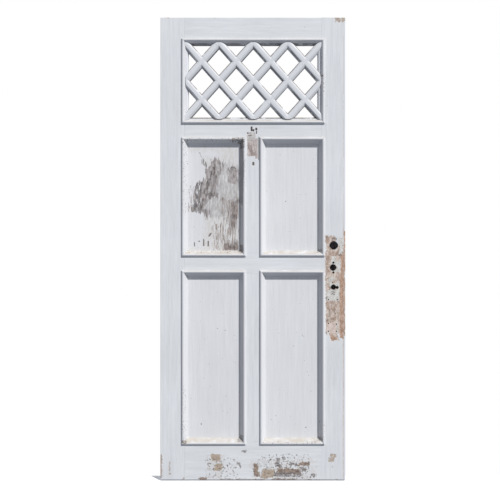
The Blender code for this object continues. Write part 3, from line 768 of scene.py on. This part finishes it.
def lattice_dust_dirt_and_shade(finish, paint):
    """Paint on the lattice laths and their border, with dust, painted
    shade on slopes that look down and a dirt line on slopes that look up.
    """
    finish.dust(0.45)
    # Painted shade: slopes that look down, on the laths and the border strip, darkened to
    # blue-grey
    finish.shade_and_dirt_on_slopes(-0.30, LATH_FACE + 0.0020, 0.003, (0.20, 0.20, 0.215), 0.75)
    # Dirt: a thin brown line on slopes that look up
    finish.shade_and_dirt_on_slopes(0.32, LATH_FACE + 0.0044, 0.0008, (0.17, 0.13, 0.105), 0.85)
    finish.done()


# Each finish: its wear, with painted shade on some, its colour, how far its
# streaks show, whether its grain lies level, and the level of the face that
# its marks lie on
FINISHES = {
    "upright_frame_paint": (plain_frame_wear, "frame_colour", FRAME_STREAK, False, FACE),
    "level_frame_paint": (plain_frame_wear, "frame_colour", FRAME_STREAK, True, FACE),
    "lock_stile_paint": (lock_stile_wear_and_bore_shade, "frame_colour", FRAME_STREAK, False, FACE),
    "bottom_rail_paint": (bottom_rail_wear, "frame_colour", FRAME_STREAK, True, FACE),
    "knocker_rail_paint": (knocker_wear_and_shadow, "frame_colour", FRAME_STREAK, True, FACE),
    "knocker_muntin_paint": (knocker_wear_and_shadow, "frame_colour", FRAME_STREAK, False, FACE),
    "plain_panel_paint": (panel_wear, "panel_colour", PANEL_STREAK, False, PANEL_FACE),
    "scraped_panel_paint": (scraped_panel_wear, "panel_colour", PANEL_STREAK, False, PANEL_FACE),
    "upright_moulding_paint": (
        moulding_wear, "moulding_colour", MOULDING_STREAK, False, PANEL_FACE),
    "level_moulding_paint": (moulding_wear, "moulding_colour", MOULDING_STREAK, True, PANEL_FACE),
    "old_lattice_paint": (lattice_dust_dirt_and_shade, "lattice_colour", MOULDING_STREAK, False, FACE),
}


class DOOR_OT_materials(Operator):
    """Build the painted finishes of the door"""

    bl_idname = "door.materials"
    bl_label = "Build finishes"

    def execute(self, context):
        for build in (build_paint_group, build_ragged_group, build_box_group,
                      build_patch_group, build_mottle_group, build_dust_group):
            build()
        paint = context.scene.door_paint
        for name, (add_marks, *coat) in FINISHES.items():
            add_marks(Finish(name, paint, *coat), paint)
        return {"FINISHED"}


# Edges that turn more than this many degrees stay sharp
SHARP_ANGLE = 32
LATH_SHARP_ANGLE = 24

# Points this close are one, faces this close to a plane, in degrees, are flat,
# and ends this close to an outer edge lie on it
MERGE = 0.00002
FLAT_ANGLE = 0.5
ON_EDGE = 0.0001

# A face whose normal has a part above this lies square to the door
SQUARE_ON = 0.999


def smooth_by_angle(mesh, degrees=SHARP_ANGLE):
    """Shade a mesh smooth, with sharp edges where it turns hard."""
    mesh.shade_smooth()
    mesh.set_sharp_from_angle(angle=math.radians(degrees))


def finished_mesh(holder, name):
    """The evaluated mesh of an object, on its own."""
    bpy.context.view_layer.update()
    graph = bpy.context.evaluated_depsgraph_get()
    mesh = bpy.data.meshes.new_from_object(holder.evaluated_get(graph))
    mesh.name = name
    return mesh


def show_piece(name, mesh, material, slot, *nodes):
    """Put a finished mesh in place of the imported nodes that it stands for."""
    piece = bpy.data.objects.new(name, mesh)
    bpy.context.scene.collection.objects.link(piece)
    mesh.materials.clear()
    mesh.materials.append(bpy.data.materials[material])
    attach(piece, ROOT)
    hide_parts(*nodes)


def copy_of_node(node):
    """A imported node's mesh with its triangles joined up again."""
    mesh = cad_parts[node].data.copy()
    shape = bmesh.new()
    shape.from_mesh(mesh)
    bmesh.ops.remove_doubles(shape, verts=shape.verts, dist=MERGE)
    bmesh.ops.dissolve_limit(
        shape, angle_limit=math.radians(FLAT_ANGLE), verts=shape.verts, edges=shape.edges)
    shape.to_mesh(mesh)
    shape.free()
    return mesh


def mark_outer_edges(mesh):
    """Weight the long outer edges of the door for rounding."""
    weights = mesh.attributes.new("bevel_weight_edge", "FLOAT", "EDGE")
    for edge, weight in zip(mesh.edges, weights.data):
        ends = [mesh.vertices[index].co for index in edge.vertices]
        outer = [
            all(abs(end[axis] - level) < ON_EDGE for end in ends)
            for axis, level in ((0, HINGE_EDGE), (0, LOCK_EDGE), (2, FLOOR), (2, TOP))]
        on_face = [
            all(abs(end[1] - level) < ON_EDGE for end in ends) for level in (FACE, REAR)]
        weight.value = float(any(outer) and any(on_face) or sum(outer) == 2)


def soften_node(node, width):
    """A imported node's shape with its outer edges slightly rounded."""
    mesh = copy_of_node(node)
    smooth_by_angle(mesh)
    if width == 0:
        return mesh
    mark_outer_edges(mesh)
    holder = bpy.data.objects.new(node + "_holder", mesh)
    bpy.context.scene.collection.objects.link(holder)
    bevel = holder.modifiers.new("edge_round", "BEVEL")
    bevel.width = width
    bevel.segments = 3
    bevel.limit_method = "WEIGHT"
    finished = finished_mesh(holder, node + "_finish")
    bpy.data.objects.remove(holder)
    for face in finished.polygons:
        face.use_smooth = max(abs(part) for part in face.normal) < SQUARE_ON
    return finished


FRAME_FINISHES = {
    "hinge_stile": "upright_frame_paint", "lock_stile": "lock_stile_paint",
    "top_rail": "level_frame_paint", "frieze_rail": "knocker_rail_paint",
    "lock_rail": "level_frame_paint", "bottom_rail": "bottom_rail_paint",
    "upper_muntin": "knocker_muntin_paint", "lower_muntin": "upright_frame_paint"}


class DOOR_OT_framing(Operator):
    """Finish the stiles, rails and muntins with softened edges"""

    bl_idname = "door.framing"
    bl_label = "Finish framing"

    def execute(self, context):
        shape = context.scene.door_shape
        for node, material in FRAME_FINISHES.items():
            mesh = soften_node(node, shape.edge_round)
            show_piece(node + "_painted", mesh, material, "frame_paint", node)
        return {"FINISHED"}


class DOOR_OT_panels(Operator):
    """Finish the flat panels"""

    bl_idname = "door.panels"
    bl_label = "Finish panels"

    def execute(self, context):
        for name in PANEL_NAMES:
            node = name + "_panel"
            material = "scraped_panel_paint" if name == "upper_left" else "plain_panel_paint"
            show_piece(node + "_painted", soften_node(node, 0), material, "panel_paint", node)
        return {"FINISHED"}


def moulding_section(settings, foot_width, foot_level, panel_level):
    """Outline of a raised moulding: X inwards from the opening's edge, Y out
    of the frame's face. A round bead runs straight into the slope, which
    would meet the panel's level at the slope's foot."""
    half = BEAD_LAP / 2
    away = ((SLOPE_FOOT + half) / half, -panel_level / BEAD_RISE)
    turn = math.atan2(away[1], away[0]) + math.asin(1 / math.hypot(*away))
    outline = [(FIT, FIT), (FIT, foot_level), (foot_width, foot_level)]
    steps = settings.round_steps
    for step in range(2 * steps + 1):
        angle = turn - (turn + math.pi / 2) * step / (2 * steps)
        outline.append((
            half * (math.sin(angle) - 1), max(FIT, BEAD_RISE * math.cos(angle))))
    return outline


def border_section(settings, width):
    """Outline of the strip under the lattice, its inner corner rounded."""
    front = FACE - BORDER_FACE
    rear = FACE - BORDER_REAR
    radius = settings.border_round
    steps = settings.round_steps
    outline = [(FIT, front), (FIT, rear), (width, rear)]
    for step in range(steps + 1):
        angle = math.pi / 2 * step / steps
        outline.append((
            width - radius * (1 - math.cos(angle)), front - radius * (1 - math.sin(angle))))
    return outline


def section_object(name, outline):
    """A closed section as a curve object for the sweep."""
    curve = bpy.data.curves.new(name, "CURVE")
    curve.dimensions = "3D"
    spline = curve.splines.new("POLY")
    spline.points.add(len(outline) - 1)
    for point, (x, y) in zip(spline.points, outline):
        point.co = (x, y, 0, 1)
    spline.use_cyclic_u = True
    drawn = bpy.data.objects.new(name, curve)
    bpy.context.scene.collection.objects.link(drawn)
    return drawn


# Scale of the hand waver's noise, and the height above the frame's face
# where the waver starts
WAVER_SCALE = 9.0
WAVER_START = 0.001


def build_sweep_tree():
    """Geometry nodes that sweep a section along Z, slant both ends to meet
    their neighbours, and let the faces waver a little."""
    tree = bpy.data.node_groups.new("mitred_length", "GeometryNodeTree")
    numbers = ("Length", "Segment", "Lower Slope", "Upper Slope", "Gap", "Waver", "Seed")
    for label, kind in (
            ("Geometry", "Geometry"), ("Section", "Object"),
            *((number, "Float") for number in numbers), ("Material", "Material")):
        tree.interface.new_socket(label, in_out="INPUT", socket_type="NodeSocket" + kind)
    tree.interface.new_socket("Geometry", in_out="OUTPUT", socket_type="NodeSocketGeometry")
    given = tree.nodes.new("NodeGroupInput").outputs
    leave = tree.nodes.new("NodeGroupOutput")
    half = calc(tree, "MULTIPLY", given["Length"], 0.5)
    line = add_node(tree, "GeometryNodeCurvePrimitiveLine", {
        "Start": joined(tree, {2: calc(tree, "MULTIPLY", half, -1.0)}),
        "End": joined(tree, {2: half})})
    spaced = add_node(
        tree, "GeometryNodeResampleCurve",
        {"Curve": line.outputs[0], "Length": given["Segment"]}, mode="LENGTH")
    section = add_node(tree, "GeometryNodeObjectInfo", {"Object": given["Section"]})
    swept = add_node(
        tree, "GeometryNodeCurveToMesh",
        {"Curve": spaced.outputs[0], "Profile Curve": section.outputs["Geometry"],
         "Fill Caps": True})
    place = add_node(tree, "GeometryNodeInputPosition").outputs[0]
    parts = split(tree, place)
    below = calc(tree, "LESS_THAN", parts[2], 0.0)
    slope = add_node(
        tree, "ShaderNodeMix",
        {0: below, 2: given["Upper Slope"], 3: given["Lower Slope"]}).outputs[0]
    trim = calc(tree, "MULTIPLY_ADD", parts[0], slope, given["Gap"])
    share = calc(tree, "DIVIDE", calc(tree, "SUBTRACT", half, trim), half)
    along = calc(tree, "MULTIPLY", parts[2], share)
    moved = joined(tree, {0: parts[0], 1: parts[1], 2: along})
    field = add_node(
        tree, "ShaderNodeTexNoise",
        {"Vector": place, "W": given["Seed"], "Scale": WAVER_SCALE, "Detail": 2.0},
        noise_dimensions="4D")
    stray = calc(tree, "MULTIPLY", calc(tree, "SUBTRACT", field.outputs[0], 1.0), given["Waver"])
    offset = joined(tree, {1: stray})
    front = calc(tree, "GREATER_THAN", parts[1], WAVER_START)
    bent = add_node(
        tree, "GeometryNodeSetPosition",
        {"Geometry": swept.outputs[0], "Position": moved})
    wavered = add_node(
        tree, "GeometryNodeSetPosition",
        {"Geometry": bent.outputs[0], "Offset": offset, "Selection": front})
    whole = add_node(tree, "GeometryNodeRealizeInstances", {"Geometry": wavered.outputs[0]})
    coated = add_node(
        tree, "GeometryNodeSetMaterial",
        {"Geometry": whole.outputs[0], "Material": given["Material"]})
    tree.links.new(coated.outputs[0], leave.inputs[0])


def set_inputs(modifier, values):
    """Set a geometry nodes modifier's inputs by their sockets' identifiers."""
    for item in modifier.node_group.interface.items_tree:
        if item.in_out == "INPUT" and item.name in values:
            modifier[item.identifier] = values[item.name]


def swept_mesh(name, outline, values):
    """Run the sweep for one section and return its mesh."""
    section = section_object(name + "_section", outline)
    holder = bpy.data.objects.new(name + "_holder", bpy.data.meshes.new(name + "_holder"))
    bpy.context.scene.collection.objects.link(holder)
    sweep = holder.modifiers.new("sweep", "NODES")
    sweep.node_group = bpy.data.node_groups["mitred_length"]
    set_inputs(sweep, {"Section": section, **values})
    mesh = finished_mesh(holder, name)
    bpy.data.objects.remove(holder)
    bpy.data.objects.remove(section)
    return mesh


def show_swept(node, outline, inwards, middle, material, slot, values):
    """Sweep a section and show it for its node, its X inwards from the
    opening's edge and its Y out of the face."""
    x, z, length = middle
    mesh = swept_mesh(node + "_painted", outline, {
        "Length": length, "Gap": FIT / 2, "Material": bpy.data.materials[material], **values})
    side = Vector(inwards)
    out = Vector((0, -1, 0))
    axes = Matrix((side, out, side.cross(out))).transposed().to_4x4()
    mesh.transform(Matrix.Translation((x, FACE, z)) @ axes)
    smooth_by_angle(mesh)
    show_piece(node + "_painted", mesh, material, slot, node)


def width_of(node, inwards):
    """How wide the length of one side is, inwards from the opening's edge."""
    low, high = span(node, 0 if inwards[0] else 2)
    return high - low


def edge_middles(corners):
    """Middle of each side of an opening, with the side's length."""
    (left, bottom), (right, top) = corners
    across = (left + right) / 2
    level = (bottom + top) / 2
    return {
        "left": (left, level, top - bottom), "right": (right, level, top - bottom),
        "bottom": (across, bottom, right - left), "top": (across, top, right - left)}


class DOOR_OT_mouldings(Operator):
    """Sweep the raised mouldings round the panels and the light"""

    bl_idname = "door.mouldings"
    bl_label = "Sweep mouldings"

    def execute(self, context):
        settings = context.scene.door_shape
        build_sweep_tree()
        for count, name in enumerate((*PANEL_NAMES, "light")):
            middles = edge_middles(opening(name))
            for turn, (side, inwards) in enumerate(SIDES.items()):
                node = f"{name}_moulding_{side}"
                material = ("upright" if inwards[0] else "level") + "_moulding_paint"
                outline = moulding_section(
                    settings, width_of(node, inwards) - BEAD_LAP, FACE - span(node, 1)[1],
                    FACE - PANEL_FACE)
                show_swept(node, outline, inwards, middles[side], material, "moulding_paint", {
                    "Segment": settings.segment, "Lower Slope": 1.0, "Upper Slope": 1.0,
                    "Waver": settings.waver, "Seed": settings.seed + count + turn / 10})
        return {"FINISHED"}


class DOOR_OT_border(Operator):
    """Sweep the strip round the light that carries the lattice"""

    bl_idname = "door.border"
    bl_label = "Sweep border strip"

    def execute(self, context):
        settings = context.scene.door_shape
        middles = edge_middles(opening("light"))
        widths = {
            side: width_of("lattice_border_" + side, inwards) + FIT
            for side, inwards in SIDES.items()}
        for side, inwards in SIDES.items():
            node = "lattice_border_" + side
            own = widths[side]
            lower, upper = (widths[other] / own for other in NEIGHBOURS[side])
            outline = border_section(settings, own)
            show_swept(
                node, outline, inwards, middles[side], "old_lattice_paint", "lattice_paint", {
                    "Segment": settings.segment, "Lower Slope": lower, "Upper Slope": upper,
                    "Waver": 0.0, "Seed": 0.0})
        return {"FINISHED"}


def chamfer_lath(mesh, drop):
    """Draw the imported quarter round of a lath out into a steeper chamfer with
    a soft shoulder, by the level of each vertex behind the lath's face."""
    depth = LATH_REAR - LATH_FACE
    for vertex in mesh.vertices:
        level = vertex.co.y - LATH_FACE
        if level >= LATH_ROUND_DROP:
            share = (level - LATH_ROUND_DROP) / (depth - LATH_ROUND_DROP)
            level = drop + share * (depth - drop)
        else:
            across = math.sqrt(max(0.0, 1 - (1 - level / LATH_ROUND_DROP) ** 2))
            level = drop * max(0.0, (across - CHAMFER_START) / (1 - CHAMFER_START)) ** CHAMFER_BEND
        vertex.co.y = LATH_FACE + level
    mesh.update()
    smooth_by_angle(mesh, LATH_SHARP_ANGLE)
    return mesh


class DOOR_OT_lattice(Operator):
    """Finish the half-lapped laths of the lattice"""

    bl_idname = "door.lattice"
    bl_label = "Finish lattice"

    def execute(self, context):
        for node in LATH_NAMES:
            mesh = chamfer_lath(copy_of_node(node), context.scene.door_shape.lath_chamfer)
            show_piece(node + "_painted", mesh, "old_lattice_paint", "lattice_paint", node)
        return {"FINISHED"}


KEY_DIRECTION = (0.48, -0.51, 0.71)
KEY_SPREAD = math.radians(2.5)
BACK_DIRECTION = (-0.35, 0.85, 0.40)
BACK_SPREAD = math.radians(40)
FLOOR_WIDTH = 3.4
FLOOR_FRONT = 0.9
FLOOR_BEHIND = 0.03
FLOOR_THICKNESS = 0.03
FLOOR_GAP = 0.004
SENSOR = 36.0


def pale_material(name, colour):
    """A plain pale surface for the stage."""
    material = bpy.data.materials.new(name)
    material.use_nodes = True
    surface = material.node_tree.nodes["Principled BSDF"]
    surface.inputs["Base Color"].default_value = rgba(colour)
    surface.inputs["Roughness"].default_value = 0.9
    return material


def add_floor():
    """A low pale floor under the door, a little below its bottom edge."""
    mesh = bpy.data.meshes.new("floor")
    shape = bmesh.new()
    bmesh.ops.create_cube(shape, size=1.0)
    bmesh.ops.scale(
        shape, vec=(FLOOR_WIDTH, FLOOR_FRONT + FLOOR_BEHIND, FLOOR_THICKNESS), verts=shape.verts)
    middle = (
        (HINGE_EDGE + LOCK_EDGE) / 2, (FLOOR_BEHIND - FLOOR_FRONT) / 2,
        FLOOR - FLOOR_GAP - FLOOR_THICKNESS / 2)
    bmesh.ops.translate(shape, vec=middle, verts=shape.verts)
    shape.to_mesh(mesh)
    shape.free()
    floor = bpy.data.objects.new("floor", mesh)
    bpy.context.scene.collection.objects.link(floor)
    mesh.materials.append(pale_material("pale_floor", (0.9, 0.9, 0.9)))
    floor.visible_diffuse = False
    floor.visible_glossy = False


def add_world(fill):
    """White behind the door, and a soft cool fill from all round."""
    world = bpy.data.worlds.new("studio")
    bpy.context.scene.world = world
    world.use_nodes = True
    tree = world.node_tree
    tree.nodes.clear()
    around = add_node(tree, "ShaderNodeBackground", {"Color": rgba(fill), "Strength": 1.0})
    behind = add_node(tree, "ShaderNodeBackground", {"Color": (1, 1, 1, 1), "Strength": 1.0})
    seen = add_node(tree, "ShaderNodeLightPath").outputs["Is Camera Ray"]
    mixed = add_node(tree, "ShaderNodeMixShader", {
        0: seen, 1: around.outputs[0], 2: behind.outputs[0]})
    add_node(tree, "ShaderNodeOutputWorld", {"Surface": mixed.outputs[0]})


def add_sun(name, strength, spread, direction):
    """A distant light from a direction."""
    data = bpy.data.lights.new(name, "SUN")
    data.energy = strength
    data.angle = spread
    light = bpy.data.objects.new(name, data)
    light.rotation_euler = Vector(direction).to_track_quat("Z", "Y").to_euler()
    bpy.context.scene.collection.objects.link(light)


class DOOR_OT_stage(Operator):
    """Set up the floor, the lights and the camera"""

    bl_idname = "door.stage"
    bl_label = "Set the stage"

    def execute(self, context):
        settings = context.scene.door_stage
        add_floor()
        add_world(settings.fill_colour)
        add_sun("key", settings.key_strength, KEY_SPREAD, KEY_DIRECTION)
        add_sun("back", settings.back_strength, BACK_SPREAD, BACK_DIRECTION)
        camera_data = bpy.data.cameras.new("camera")
        camera_data.sensor_width = SENSOR
        camera_data.lens = SENSOR * settings.camera_distance / settings.view_width
        camera = bpy.data.objects.new("camera", camera_data)
        camera.location = (
            (HINGE_EDGE + LOCK_EDGE) / 2 + settings.view_shift,
            FACE - settings.camera_distance, FLOOR + settings.view_height)
        camera.rotation_euler = (math.pi / 2, 0, 0)
        context.scene.collection.objects.link(camera)
        context.scene.camera = camera
        context.scene.view_settings.view_transform = "Standard"
        return {"FINISHED"}


class DOOR_PT_sidebar(Panel):
    """Sidebar with the door's settings and steps"""

    bl_idname = "DOOR_PT_sidebar"
    bl_label = "Weathered front door"
    bl_space_type = "VIEW_3D"
    bl_region_type = "UI"
    bl_category = "Door"

    def draw(self, context):
        for settings in (
                context.scene.door_paint, context.scene.door_shape, context.scene.door_stage):
            box = self.layout.box()
            for name in settings.bl_rna.properties.keys():
                if name not in {"rna_type", "name"}:
                    box.prop(settings, name)
        for step in STEPS:
            self.layout.operator(step.bl_idname)


STEPS = (
    DOOR_OT_materials, DOOR_OT_framing, DOOR_OT_panels, DOOR_OT_mouldings,
    DOOR_OT_border, DOOR_OT_lattice, DOOR_OT_stage)
SETTINGS = {
    "door_paint": DoorPaintSettings, "door_shape": DoorShapeSettings,
    "door_stage": DoorStageSettings}


def register():
    for kind in (*SETTINGS.values(), *STEPS, DOOR_PT_sidebar):
        bpy.utils.register_class(kind)
    for name, kind in SETTINGS.items():
        setattr(bpy.types.Scene, name, PointerProperty(type=kind))


def unregister():
    for name in SETTINGS:
        delattr(bpy.types.Scene, name)
    for kind in reversed((*SETTINGS.values(), *STEPS, DOOR_PT_sidebar)):
        bpy.utils.unregister_class(kind)


def main():
    register()
    bpy.ops.door.materials()
    bpy.ops.door.framing()
    bpy.ops.door.panels()
    bpy.ops.door.mouldings()
    bpy.ops.door.border()
    bpy.ops.door.lattice()
    bpy.ops.door.stage()


if __name__ == "__main__":
    main()
